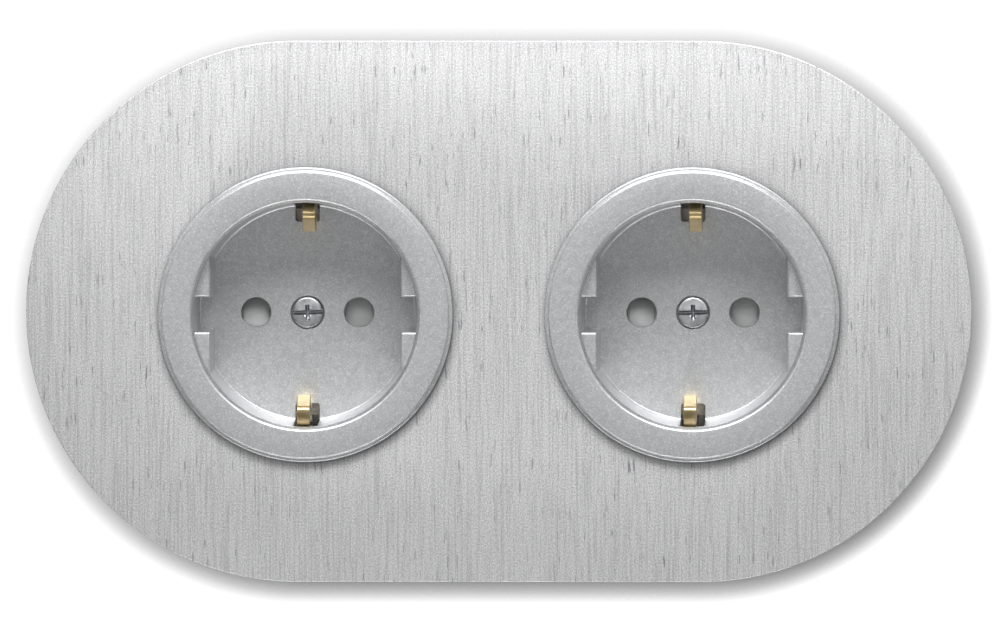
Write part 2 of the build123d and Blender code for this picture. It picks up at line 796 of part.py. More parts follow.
gang_pieces = {
    "cover": make_cover(),
    "cover_screw": make_cover_screw(),
    "shutter": make_shutter(),
    "shutter_spring": make_shutter_spring(),
    "earth_strip": make_earth_strip(),
    "base": make_base(),
    "base_cover": make_base_cover(),
    "base_screws": make_base_screws(),
    "strap": make_strap(),
    "strap_rivets": make_strap_rivets(),
}
for pole, pole_place in (("line", -pole_x), ("earth", 0.0), ("neutral", pole_x)):
    gang_pieces[pole + "_clamp"] = make_clamp(pole_place)
    gang_pieces[pole + "_release"] = make_release(pole_place)
    if pole != "earth":
        gang_pieces[pole + "_contact"] = make_contact(pole_place)

os.makedirs("parts", exist_ok=True)
export_step(make_frame_plate(), "parts/frame_plate.step")
export_step(make_frame_carrier(), "parts/frame_carrier.step")
for gang, gang_side in (("left", -1), ("right", 1)):
    place = Pos(gang_side * gang_pitch / 2, 0, 0)
    for name, piece in gang_pieces.items():
        export_step(place * piece, "parts/" + gang + "_" + name + ".step")
    for claw, claw_side in (("outer", gang_side), ("inner", -gang_side)):
        export_step(place * make_claw(claw_side), "parts/" + gang + "_" + claw + "_claw.step")
        export_step(place * make_claw_screw(claw_side), "parts/" + gang + "_" + claw + "_claw_screw.step")
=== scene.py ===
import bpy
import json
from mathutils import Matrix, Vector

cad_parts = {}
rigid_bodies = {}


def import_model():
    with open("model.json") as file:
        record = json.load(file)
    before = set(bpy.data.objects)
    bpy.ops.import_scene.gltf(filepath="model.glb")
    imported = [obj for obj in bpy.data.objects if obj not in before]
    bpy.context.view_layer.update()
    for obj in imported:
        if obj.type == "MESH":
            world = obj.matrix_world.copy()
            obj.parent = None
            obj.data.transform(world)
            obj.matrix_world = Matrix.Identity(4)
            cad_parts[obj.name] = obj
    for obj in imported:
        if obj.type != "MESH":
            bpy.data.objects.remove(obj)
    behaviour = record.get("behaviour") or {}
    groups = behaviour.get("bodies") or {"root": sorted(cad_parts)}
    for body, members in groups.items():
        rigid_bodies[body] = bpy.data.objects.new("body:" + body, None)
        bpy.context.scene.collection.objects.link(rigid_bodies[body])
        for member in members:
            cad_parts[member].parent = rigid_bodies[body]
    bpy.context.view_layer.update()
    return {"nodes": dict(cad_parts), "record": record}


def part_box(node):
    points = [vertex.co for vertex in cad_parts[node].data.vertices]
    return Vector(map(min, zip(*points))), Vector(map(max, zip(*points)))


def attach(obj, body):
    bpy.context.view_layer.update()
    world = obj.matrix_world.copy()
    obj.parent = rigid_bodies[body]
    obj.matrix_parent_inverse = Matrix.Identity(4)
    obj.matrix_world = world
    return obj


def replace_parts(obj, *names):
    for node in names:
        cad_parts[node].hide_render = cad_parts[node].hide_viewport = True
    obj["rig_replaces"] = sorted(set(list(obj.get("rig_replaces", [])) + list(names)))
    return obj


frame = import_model()

import json
import math
import bmesh
import bpy
from mathutils import Matrix, Vector

mm = 0.001
scene = bpy.context.scene
gangs = {"left": None, "right": None}
for gangName in gangs:
    low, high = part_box(gangName + "_cover")
    gangs[gangName] = (low.x + high.x) / 2 / mm   # centre line of each gang, in mm
plateLow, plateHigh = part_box("frame_plate")
plateFace = plateLow.y / mm   # depth of the plate's front, in mm; depth grows into the wall
print("frame loaded:", len(frame["nodes"]), "nodes")


# Mesh helpers. Outlines are in mm: (radius, depth), (height, depth) or (x, height).

def addObject(name, mesh, material=None):
    obj = bpy.data.objects.new(name, mesh)
    scene.collection.objects.link(obj)
    if material is not None:
        mesh.materials.append(material)
    return obj


def meshFrom(name, points, faces):
    mesh = bpy.data.meshes.new(name)
    mesh.from_pydata([tuple(c * mm for c in p) for p in points], [], faces)
    work = bmesh.new()
    work.from_mesh(mesh)
    bmesh.ops.remove_doubles(work, verts=work.verts, dist=1e-7)
    bmesh.ops.recalc_face_normals(work, faces=work.faces)
    work.to_mesh(mesh)
    work.free()
    return mesh


def rounded(points, radii, closed=True, steps=6):
    # the outline with each corner turned into an arc of its radius
    count = len(points)
    out = []
    for i, (here, radius) in enumerate(zip(points, radii)):
        if radius <= 0 or (not closed and i in (0, count - 1)):
            out.append(here)
            continue
        p = Vector(here)
        back = Vector(points[i - 1]) - p
        ahead = Vector(points[(i + 1) % count]) - p
        half = back.angle(ahead) / 2
        reach = radius / math.tan(half)
        middle = p + (back.normalized() + ahead.normalized()).normalized() * (radius / math.sin(half))
        first = p + back.normalized() * reach - middle
        turn = first.angle_signed(p + ahead.normalized() * reach - middle)
        for step in range(steps + 1):
            a = -turn * step / steps
            cos, sin = math.cos(a), math.sin(a)
            out.append(tuple(middle + Vector((first.x * cos - first.y * sin, first.x * sin + first.y * cos))))
    return out


def lathe(name, outline, segments=256, centre=(0, 0)):
    # closed outline of (radius, depth) turned about the depth axis, with no edge on the x and z axes
    points, faces, count = [], [], len(outline)
    for k in range(segments):
        a = 2 * math.pi * (k + 0.5) / segments
        points += [(centre[0] + r * math.cos(a), y, centre[1] + r * math.sin(a)) for r, y in outline]
    for k in range(segments):
        here, there = k * count, (k + 1) % segments * count
        for i in range(count):
            j = (i + 1) % count
            if outline[i][0] < 1e-6 and outline[j][0] < 1e-6:
                continue
            face = [here + i, here + j, there + j, there + i]
            if outline[i][0] < 1e-6:
                face = [here + i, here + j, there + j]
            elif outline[j][0] < 1e-6:
                face = [here + i, here + j, there + i]
            faces.append(face)
    return meshFrom(name, points, faces)


def stack(name, loops):
    # closed solid through loops of equally many (x, depth, height) points
    count = len(loops[0])
    points = [p for loop in loops for p in loop]
    faces = [list(range(count)), list(range(len(points) - count, len(points)))]
    for level in range(len(loops) - 1):
        for i in range(count):
            j = (i + 1) % count
            a, b = level * count, (level + 1) * count
            faces.append([a + i, a + j, b + j, b + i])
    return meshFrom(name, points, faces)


def prism(name, outline, front, rear, rearOutline=None):
    # (x, height) outline between two depths
    return stack(name, [
        [(x, front, z) for x, z in outline],
        [(x, rear, z) for x, z in (rearOutline or outline)],
    ])


def rectangle(width, height, x=0.0, z=0.0, radius=0.0):
    w, h = width / 2, height / 2
    corners = [(x - w, z - h), (x + w, z - h), (x + w, z + h), (x - w, z + h)]
    return rounded(corners, [radius] * 4) if radius else corners


def stadium(length, height, steps=96):
    radius, half = height / 2, (length - height) / 2
    out = []
    for side in (1, -1):
        for step in range(steps + 1):
            a = -math.pi / 2 + math.pi * step / steps
            out.append((side * (half + radius * math.cos(a)), side * radius * math.sin(a)))
    return out


def strip(name, path, thickness, width, x=0.0, edge=0.12):
    # flat strip bent along (height, depth) points, with softened edges
    w, t = width / 2, thickness / 2
    section = [(-w, -t + edge), (-w + edge, -t), (w - edge, -t), (w, -t + edge),
               (w, t - edge), (w - edge, t), (-w + edge, t), (-w, t - edge)]
    loops = []
    for i, here in enumerate(path):
        before = Vector(path[max(i - 1, 0)])
        after = Vector(path[min(i + 1, len(path) - 1)])
        along = (after - before).normalized()
        across = Vector((-along.y, along.x))
        loops.append([(x + u, here[1] + across.y * v, here[0] + across.x * v) for u, v in section])
    return stack(name, loops)


def combine(target, mesh, operation):
    # exact boolean of the target object with a loose mesh
    tool = addObject("tool", mesh)
    modifier = target.modifiers.new("cut", "BOOLEAN")
    modifier.operation = operation
    modifier.solver = "EXACT"
    modifier.object = tool
    applyModifiers(target)
    bpy.data.objects.remove(tool)


def applyModifiers(obj):
    view = bpy.context.evaluated_depsgraph_get()
    view.update()
    baked = bpy.data.meshes.new_from_object(obj.evaluated_get(view))
    old = obj.data
    obj.modifiers.clear()
    obj.data = baked
    bpy.data.meshes.remove(old)


def smooth(obj, angle=32):
    obj.data.shade_smooth()
    obj.data.set_sharp_from_angle(angle=math.radians(angle))


def shifted(obj, x):
    obj.data.transform(Matrix.Translation((x * mm, 0, 0)))
    return obj


def finishPiece(obj, body, slot, *nodes):
    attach(obj, body)
    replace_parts(obj, *nodes)
    return obj


# Materials. Scales are features per metre on Object coordinates.

def newMaterial(name, roughness, metallic=0.0, specular=0.5):
    made = bpy.data.materials.new(name)
    made.use_nodes = True
    tree = made.node_tree
    shader = tree.nodes["Principled BSDF"]
    shader.inputs["Roughness"].default_value = roughness
    shader.inputs["Metallic"].default_value = metallic
    shader.inputs["Specular IOR Level"].default_value = specular
    place = tree.nodes.new("ShaderNodeTexCoord")
    return made, tree, shader, place.outputs["Object"]


def noise(tree, place, scale, detail=2.0, stretch=(1, 1, 1), roughness=0.5, offset=(0, 0, 0)):
    mapping = tree.nodes.new("ShaderNodeMapping")
    mapping.inputs["Location"].default_value = offset
    mapping.inputs["Scale"].default_value = stretch
    tree.links.new(place, mapping.inputs["Vector"])
    node = tree.nodes.new("ShaderNodeTexNoise")
    node.inputs["Scale"].default_value = scale
    node.inputs["Detail"].default_value = detail
    node.inputs["Roughness"].default_value = roughness
    tree.links.new(mapping.outputs["Vector"], node.inputs["Vector"])
    return node.outputs["Fac"]


def cells(tree, place, scale, output="Color", feature="F1"):
    node = tree.nodes.new("ShaderNodeTexVoronoi")
    node.feature = feature
    node.inputs["Scale"].default_value = scale
    tree.links.new(place, node.inputs["Vector"])
    return node.outputs[output]


def ramp(tree, value, stops):
    # stops are (position, grey or colour)
    node = tree.nodes.new("ShaderNodeValToRGB")
    elements = node.color_ramp.elements
    while len(elements) < len(stops):
        elements.new(0.5)
    for element, (position, colour) in zip(elements, stops):
        element.position = position
        if isinstance(colour, (int, float)):
            colour = (colour, colour, colour)
        element.color = (*colour, 1)
    tree.links.new(value, node.inputs["Fac"])
    return node.outputs["Color"]


def blendColours(tree, factor, first, second, mode="MIX"):
    node = tree.nodes.new("ShaderNodeMix")
    node.data_type = "RGBA"
    node.blend_type = mode
    for socket, value in ((node.inputs[0], factor), (node.inputs[6], first), (node.inputs[7], second)):
        if isinstance(value, bpy.types.NodeSocket):
            tree.links.new(value, socket)
        elif isinstance(value, (int, float)):
            socket.default_value = value
        else:
            socket.default_value = (*value, 1)
    return node.outputs[2]


def mapRange(tree, value, low, high, toLow, toHigh):
    node = tree.nodes.new("ShaderNodeMapRange")
    for key, number in (("From Min", low), ("From Max", high), ("To Min", toLow), ("To Max", toHigh)):
        node.inputs[key].default_value = number
    tree.links.new(value, node.inputs["Value"])
    return node.outputs["Result"]


def bump(tree, shader, height, distance, strength=1.0):
    node = tree.nodes.new("ShaderNodeBump")
    node.inputs["Strength"].default_value = strength
    node.inputs["Distance"].default_value = distance
    tree.links.new(height, node.inputs["Height"])
    tree.links.new(node.outputs["Normal"], shader.inputs["Normal"])


def paintedContactShade(tree, reach, lean, depth):
    # painted shade: ambient occlusion of near pieces as a grey that darkens the colour it multiplies,
    # lightest towards the side that lean points to
    paintedShade = tree.nodes.new("ShaderNodeAmbientOcclusion")
    paintedShade.inputs["Distance"].default_value = reach
    paintedShade.samples = 8
    side = tree.nodes.new("ShaderNodeCombineXYZ")
    for axis, value in zip("XYZ", lean):
        side.inputs[axis].default_value = value
    tree.links.new(side.outputs["Vector"], paintedShade.inputs["Normal"])
    deeper = tree.nodes.new("ShaderNodeGamma")
    deeper.inputs["Gamma"].default_value = depth
    tree.links.new(paintedShade.outputs["Color"], deeper.inputs["Color"])
    return deeper.outputs["Color"]


plateLook = {
    "light": (0.87, 0.87, 0.876),
    "dark": (0.51, 0.51, 0.52),
    "streakColour": (0.30, 0.30, 0.31),
    "streaksPerMetre": 3600,
    "streakStretch": 0.022,     # height scale against width, so a streak is about 45 times as long as wide
    "dashesPerMetre": 2600,
    "dashStretch": 0.09,
    "speckPerMetre": 4600,
    "roughness": 0.47,
    "bumpDistance": 0.00003,
    "paintedShadeReach": 0.0018,   # painted shade round the socket rings
    "paintedShadeDepth": 1.3,
    "paintedShadeLean": (-0.25, -0.92, 0.30),
}


def brushedAluminium():
    look = plateLook
    made, tree, shader, place = newMaterial("brushedAluminium", look["roughness"], 1.0)
    fine = noise(tree, place, look["streaksPerMetre"], 3, (1, 1, look["streakStretch"]), 0.6)
    dashes = noise(tree, place, look["dashesPerMetre"], 2, (1, 1, look["dashStretch"]), 0.5, (3, 0, 5))
    patches = noise(tree, place, 60, 2)
    speck = noise(tree, place, look["speckPerMetre"], 2, (1, 1, 0.75), 0.6)
    base = blendColours(tree, ramp(tree, speck, [(0.34, 0), (0.66, 1)]), look["dark"], look["light"])
    grain = ramp(tree, fine, [(0.30, 0.0), (0.55, 1.0)])
    base = blendColours(tree, 0.22, base, grain, "MULTIPLY")
    masked = blendColours(tree, 1.0, ramp(tree, dashes, [(0.28, 1), (0.36, 0)]),
                          ramp(tree, patches, [(0.40, 0.35), (0.60, 1)]), "MULTIPLY")
    base = blendColours(tree, masked, base, look["streakColour"])
    # painted shade round the socket rings, darkest below and to the right, multiplied into the base colour
    shade = paintedContactShade(tree, look["paintedShadeReach"], look["paintedShadeLean"], look["paintedShadeDepth"])
    base = blendColours(tree, 1.0, base, shade, "MULTIPLY")
    tree.links.new(base, shader.inputs["Base Color"])
    gloss = mapRange(tree, speck, 0.3, 0.7, look["roughness"] - 0.06, look["roughness"] + 0.08)
    tree.links.new(gloss, shader.inputs["Roughness"])
    height = blendColours(tree, 0.5, ramp(tree, fine, [(0.25, 0), (0.75, 1)]), speck)
    bump(tree, shader, height, look["bumpDistance"], 0.5)
    return made


brassLook = {
    "light": (0.56, 0.45, 0.26),
    "dark": (0.45, 0.35, 0.18),
    "nickel": (0.62, 0.60, 0.56),
    "bareTo": 0.004,       # depth in metres where the bare brass ends
    "greyFrom": 0.007,
    "roughness": 0.42,
}

lacquerLook = {
    "base": (0.48, 0.488, 0.498),
    "flake": (0.74, 0.748, 0.758),
    "flakesPerMetre": 7000,
    "roughness": 0.42,
    "metallic": 0.85,
    "coat": 0.6,
    "coatRoughness": 0.10,
}


def silverLacquer():
    look = lacquerLook
    made, tree, shader, place = newMaterial("silverLacquer", look["roughness"], look["metallic"])
    shader.inputs["Coat Weight"].default_value = look["coat"]
    shader.inputs["Coat Roughness"].default_value = look["coatRoughness"]
    flakes = cells(tree, place, look["flakesPerMetre"])
    split = tree.nodes.new("ShaderNodeSeparateColor")
    tree.links.new(flakes, split.inputs["Color"])
    sparkle = ramp(tree, split.outputs["Red"], [(0.0, 0), (0.75, 0.25), (1.0, 1)])
    base = blendColours(tree, sparkle, look["base"], look["flake"])
    cloud = noise(tree, place, 900, 2)
    base = blendColours(tree, 0.06, base, ramp(tree, cloud, [(0.35, 0), (0.65, 1)]), "OVERLAY")
    tree.links.new(base, shader.inputs["Base Color"])
    gloss = mapRange(tree, split.outputs["Green"], 0, 1, look["roughness"] - 0.05, look["roughness"] + 0.05)
    tree.links.new(gloss, shader.inputs["Roughness"])
    height = noise(tree, place, 2600, 2)
    bump(tree, shader, height, 0.00001, 0.4)
    return made


def platedMetal(name, light, dark, roughness, scale=900, stretch=(1, 1, 1), bumpDistance=0.00001):
    # rolled or plated metal: drifting tone, fine rolling marks and uneven gloss
    made, tree, shader, place = newMaterial(name, roughness, 1.0)
    tone = noise(tree, place, scale, 3, stretch)
    marks = noise(tree, place, scale * 4, 3, (1, 0.12, 1))
    base = blendColours(tree, ramp(tree, tone, [(0.3, 0), (0.7, 1)]), dark, light)
    base = blendColours(tree, 0.12, base, ramp(tree, marks, [(0.35, 0.3), (0.6, 1)]), "MULTIPLY")
    tree.links.new(base, shader.inputs["Base Color"])
    gloss = mapRange(tree, tone, 0.3, 0.7, roughness - 0.05, roughness + 0.09)
    tree.links.new(gloss, shader.inputs["Roughness"])
    bump(tree, shader, marks, bumpDistance, 0.5)
    return made


def clipBrass():
    # bare brass at the clips' front, nickel grey further back on the strip
    look = brassLook
    made, tree, shader, place = newMaterial("clipBrass", look["roughness"], 1.0)
    tone = noise(tree, place, 500, 3)
    bare = blendColours(tree, ramp(tree, tone, [(0.3, 0), (0.7, 1)]), look["dark"], look["light"])
    split = tree.nodes.new("ShaderNodeSeparateXYZ")
    tree.links.new(place, split.inputs["Vector"])
    depth = mapRange(tree, split.outputs["Y"], look["bareTo"], look["greyFrom"], 0, 1)
    base = blendColours(tree, depth, bare, look["nickel"])
    tree.links.new(base, shader.inputs["Base Color"])
    gloss = mapRange(tree, tone, 0.3, 0.7, look["roughness"] - 0.06, look["roughness"] + 0.06)
    tree.links.new(gloss, shader.inputs["Roughness"])
    bump(tree, shader, noise(tree, place, 2400, 2), 0.00001, 0.4)
    return made


def galvanisedSheet():
    # zinc spangles on rolled steel
    made, tree, shader, place = newMaterial("galvanisedSheet", 0.38, 1.0)
    spangle = cells(tree, place, 260)
    split = tree.nodes.new("ShaderNodeSeparateColor")
    tree.links.new(spangle, split.inputs["Color"])
    shade = ramp(tree, split.outputs["Red"], [(0, 0), (1, 1)])
    base = blendColours(tree, shade, (0.50, 0.51, 0.51), (0.66, 0.67, 0.67))
    fine = noise(tree, place, 3000, 3, (1, 1, 0.1))
    base = blendColours(tree, 0.10, base, ramp(tree, fine, [(0.35, 0.4), (0.6, 1)]), "MULTIPLY")
    tree.links.new(base, shader.inputs["Base Color"])
    tree.links.new(mapRange(tree, split.outputs["Green"], 0, 1, 0.30, 0.48), shader.inputs["Roughness"])
    bump(tree, shader, fine, 0.00001, 0.4)
    return made


def mouldedPlastic(name, colour, roughness, grain=1800, mottle=0.08, scatter=0.0, scatterDepth=0.003):
    # fine eroded mould grain with a faint mottle
    made, tree, shader, place = newMaterial(name, roughness)
    dark = tuple(c * (1 - mottle) for c in colour)
    light = tuple(min(c * (1 + mottle), 1) for c in colour)
    shader.inputs["Subsurface Weight"].default_value = scatter
    shader.inputs["Subsurface Radius"].default_value = (1, 1, 1)
    shader.inputs["Subsurface Scale"].default_value = scatterDepth
    cloud = noise(tree, place, 120, 3)
    fine = noise(tree, place, grain, 2)
    base = blendColours(tree, ramp(tree, cloud, [(0.35, 0), (0.65, 1)]), dark, light)
    tree.links.new(base, shader.inputs["Base Color"])
    gloss = mapRange(tree, fine, 0.3, 0.7, roughness - 0.07, roughness + 0.07)
    tree.links.new(gloss, shader.inputs["Roughness"])
    bump(tree, shader, fine, 0.00003, 0.5)
    return made


looks = {
    "brushed_aluminium": brushedAluminium(),
    "silver_lacquer": silverLacquer(),
    "carrier_plastic": mouldedPlastic("carrierPlastic", (0.05, 0.05, 0.053), 0.55),
    "base_plastic": mouldedPlastic("basePlastic", (0.62, 0.62, 0.60), 0.5),
    "shutter_plastic": mouldedPlastic("shutterPlastic", (0.93, 0.94, 0.93), 0.5,
                                      scatter=1.0, scatterDepth=0.009),
    "release_plastic": mouldedPlastic("releasePlastic", (0.78, 0.78, 0.75), 0.4),
    "earth_release_plastic": mouldedPlastic("earthReleasePlastic", (0.06, 0.24, 0.09), 0.4),
    "galvanised_steel": galvanisedSheet(),
    "zinc_screw": platedMetal("zincPlate", (0.80, 0.815, 0.83), (0.58, 0.595, 0.61), 0.31),
    "spring_steel": platedMetal("springSteel", (0.62, 0.62, 0.62), (0.48, 0.48, 0.49), 0.30),
    "plated_brass": clipBrass(),
    "contact_brass": platedMetal("contactBrass", (0.80, 0.60, 0.28), (0.66, 0.46, 0.20), 0.30),
}
slotOf = {part["node"]: part["material_slot"] for part in frame["record"]["subparts"]}
print("materials made:", len(looks))


# Brushed plate: stadium outline, rounded front edge and two openings

plate = {
    "length": (plateHigh.x - plateLow.x) / mm,
    "height": (plateHigh.z - plateLow.z) / mm,
    "rise": (plateHigh.z + plateLow.z) / 2 / mm,   # middle of the plate above the sockets' axis
    "edge": 0.2,
    "openingRadius": 25.75,
    "edgeSteps": 5,
}


def makePlate():
    rear = plateHigh.y / mm
    levels = [(0.0, rear)]
    for step in range(plate["edgeSteps"] + 1):
        a = math.pi / 2 * step / plate["edgeSteps"]
        inset = plate["edge"] * (1 - math.cos(a))
        levels.append((inset, plateFace + plate["edge"] * (1 - math.sin(a))))
    loops = []
    for inset, depth in levels:
        outline = stadium(plate["length"] - 2 * inset, plate["height"] - 2 * inset)
        loops.append([(x, depth, z + plate["rise"]) for x, z in outline])
    obj = addObject("frame_plate_brushed", stack("framePlate", loops), looks["brushed_aluminium"])
    for x in gangs.values():
        tool = lathe("opening", [(0, plateFace - 1), (plate["openingRadius"], plateFace - 1),
                                 (plate["openingRadius"], rear + 1), (0, rear + 1)], 192, (x, 0))
        combine(obj, tool, "DIFFERENCE")
    smooth(obj)
    finishPiece(obj, "housing", "brushed_aluminium", "frame_plate")


makePlate()
print("plate made")


# Socket cover: ring, well, ledges, pin holes and earth slots in one moulding

cover = {
    "ringHeight": 2.5,
    "ringRadius": 26.35,
    "flangeRadius": 27.05,
    "flangeThickness": 0.9,
    "skin": 1.8,
    "skirtRadius": 25.4,
    "skirtWall": 1.4,
    "skirtLength": 2.6,
    "lipRadius": 21.25,
    "mouthRadius": 20.6,
    "floorRadius": 19.9,
    "wellRadius": 22.2,
    "wellDepth": 17.5,
    "floor": 2.2,
    "ledgeDrop": 3.5,
    "ledgeMouth": 17.5,
    "ledgeFloor": 17.0,
    "grooveMouth": 6.4,
    "grooveFloor": 5.6,
    "ledgeEdge": 0.45,
    "ledgeEdgeSteps": 6,
    "pinRadius": 2.75,
    "pinPlace": 9.5,
    "rimChamfer": 0.14,
    "slotWidth": 4.5,
    "slotInner": 16.7,
    "slotCorner": 0.6,
    "slotDrop": 2.2,
    "screwHole": 3.12,
    "screwRim": 0.06,
    "screwSeat": 2.2,
    "shankHole": 2.0,
    "hubRadius": 4.2,
    "ribs": 12,
    "ribThickness": 1.2,
}
ringFace = plateFace - cover["ringHeight"]
floorFront = ringFace + cover["wellDepth"]
floorRear = floorFront + cover["floor"]
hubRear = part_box("left_cover")[1].y / mm


def coverOutline():
    c = cover
    points = [
        (c["shankHole"], floorFront + c["screwSeat"]),
        (c["screwHole"], floorFront + c["screwSeat"]),
        (c["screwHole"], floorFront + c["screwRim"]),
        (c["screwHole"] + c["screwRim"], floorFront),
        (c["floorRadius"], floorFront),
        (c["mouthRadius"], ringFace + c["lipRadius"] - c["mouthRadius"]),
        (c["lipRadius"], ringFace),
        (c["ringRadius"], ringFace),
        (c["ringRadius"], plateFace - c["flangeThickness"]),
        (c["flangeRadius"], plateFace - c["flangeThickness"]),
        (c["flangeRadius"], plateFace),
        (c["skirtRadius"], plateFace),
        (c["skirtRadius"], plateFace + c["skirtLength"]),
        (c["skirtRadius"] - c["skirtWall"], plateFace + c["skirtLength"]),
        (c["skirtRadius"] - c["skirtWall"], ringFace + c["skin"]),
        (c["wellRadius"], ringFace + c["skin"]),
        (c["wellRadius"], floorRear),
        (c["hubRadius"], floorRear),
        (c["hubRadius"], hubRear),
        (c["shankHole"], hubRear),
    ]
    # edge radius at each of the points above
    radii = [0, 0, 0, 0, 0.35, 0.7, 0.7, 0.3, 0.15, 0.25, 0, 0, 0, 0, 0.3, 0.3, 0.4, 0.2, 0.2, 0]
    return rounded(points, radii)


def makeCover():
    c = cover
    obj = addObject("coverWork", lathe("cover", coverOutline()), looks["silver_lacquer"])

    ledgeFront = ringFace + c["ledgeDrop"]
    ledgeRear = floorFront + 0.5
    ringMiddle = (c["mouthRadius"] + c["wellRadius"]) / 2
    ledge = addObject("ledgeWork", lathe("ledge", [(0, ledgeFront), (ringMiddle, ledgeFront),
                                                   (ringMiddle, ledgeRear), (0, ledgeRear)]))
    levels = [(ledgeFront - 1, c["ledgeEdge"])]   # depth, and how far the tool flares there to round an edge
    for step in range(c["ledgeEdgeSteps"] + 1):
        a = math.pi / 2 * (1 - step / c["ledgeEdgeSteps"])
        levels.append((ledgeFront + c["ledgeEdge"] * (1 - math.sin(a)), c["ledgeEdge"] * (1 - math.cos(a))))
    levels.append((ledgeRear + 1, 0))
    across = (c["ledgeMouth"] * 2, c["ledgeFloor"] * 2, "x")
    upright = (c["grooveMouth"], c["grooveFloor"], "z")
    for mouth, floor, along in (across, upright):
        loops = []
        for depth, flare in levels:
            size = mouth + (floor - mouth) * (depth - ledgeFront) / (ledgeRear - ledgeFront) + 2 * flare
            outline = rectangle(size, 60) if along == "x" else rectangle(60, size)
            loops.append([(x, depth, z) for x, z in outline])
        combine(ledge, stack("ledgeTool", loops), "DIFFERENCE")
    ledgeMesh = ledge.data.copy()
    bpy.data.objects.remove(ledge)
    combine(obj, ledgeMesh, "UNION")

    for x in (-c["pinPlace"], c["pinPlace"]):
        reach = c["pinRadius"] + c["rimChamfer"] + 1
        hole = [(0, floorFront - 1), (reach, floorFront - 1), (c["pinRadius"], floorFront + c["rimChamfer"]),
                (c["pinRadius"], floorRear + 1), (0, floorRear + 1)]
        combine(obj, lathe("pinTool", hole, 96, (x, 0)), "DIFFERENCE")
    outer = c["wellRadius"] + 1
    length = outer - c["slotInner"]
    for side in (-1, 1):
        outline = rectangle(c["slotWidth"], length, 0, side * (c["slotInner"] + length / 2), c["slotCorner"])
        combine(obj, prism("slotTool", outline, ringFace + c["slotDrop"], floorRear + 1), "DIFFERENCE")
    return obj


coverWork = makeCover()
print("cover cut")


# Geometry Nodes: pieces that repeat round the gang's axis or wind along a screw

def newTree(name, sizes):
    tree = bpy.data.node_groups.new(name, "GeometryNodeTree")
    for label, kind, value in sizes:
        socket = tree.interface.new_socket(label, in_out="INPUT", socket_type=kind)
        if value is not None:
            socket.default_value = value
    tree.interface.new_socket("Geometry", in_out="OUTPUT", socket_type="NodeSocketGeometry")
    return tree, tree.nodes.new("NodeGroupInput"), tree.nodes.new("NodeGroupOutput")


def closeTree(tree, geometry, source, output):
    # every tree ends in real geometry with its own material
    real = tree.nodes.new("GeometryNodeRealizeInstances")
    paint = tree.nodes.new("GeometryNodeSetMaterial")
    tree.links.new(geometry, real.inputs["Geometry"])
    tree.links.new(real.outputs["Geometry"], paint.inputs["Geometry"])
    tree.links.new(source.outputs["Material"], paint.inputs["Material"])
    tree.links.new(paint.outputs["Geometry"], output.inputs["Geometry"])


def grow(name, tree, values, start=None):
    # runs a tree on a new object and keeps the result as a plain mesh
    obj = addObject(name, start or bpy.data.meshes.new(name))
    modifier = obj.modifiers.new("grow", "NODES")
    modifier.node_group = tree
    for item in tree.interface.items_tree:
        if item.in_out == "INPUT" and item.name in values:
            modifier[item.identifier] = values[item.name]
    applyModifiers(obj)
    return obj


def threadTree():
    # helical ridge along the depth axis
    tree, source, output = newTree("threadTurns", [
        ("Radius", "NodeSocketFloat", 0.00175), ("Pitch", "NodeSocketFloat", 0.0006),
        ("Turns", "NodeSocketFloat", 8.0), ("Ridge", "NodeSocketFloat", 0.0002),
        ("Start", "NodeSocketVector", (0, 0, 0)), ("Material", "NodeSocketMaterial", None),
    ])
    height = tree.nodes.new("ShaderNodeMath")
    height.operation = "MULTIPLY"
    tree.links.new(source.outputs["Pitch"], height.inputs[0])
    tree.links.new(source.outputs["Turns"], height.inputs[1])
    spiral = tree.nodes.new("GeometryNodeCurveSpiral")
    spiral.inputs["Resolution"].default_value = 28
    tree.links.new(source.outputs["Turns"], spiral.inputs["Rotations"])
    tree.links.new(source.outputs["Radius"], spiral.inputs["Start Radius"])
    tree.links.new(source.outputs["Radius"], spiral.inputs["End Radius"])
    tree.links.new(height.outputs["Value"], spiral.inputs["Height"])
    ridge = tree.nodes.new("GeometryNodeCurvePrimitiveCircle")
    ridge.inputs["Resolution"].default_value = 4
    tree.links.new(source.outputs["Ridge"], ridge.inputs["Radius"])
    sweep = tree.nodes.new("GeometryNodeCurveToMesh")
    sweep.inputs["Fill Caps"].default_value = True
    tree.links.new(spiral.outputs["Curve"], sweep.inputs["Curve"])
    tree.links.new(ridge.outputs["Curve"], sweep.inputs["Profile Curve"])
    turn = tree.nodes.new("GeometryNodeTransform")
    turn.inputs["Rotation"].default_value = (-math.pi / 2, 0, 0)
    tree.links.new(sweep.outputs["Mesh"], turn.inputs["Geometry"])
    tree.links.new(source.outputs["Start"], turn.inputs["Translation"])
    closeTree(tree, turn.outputs["Geometry"], source, output)
    return tree


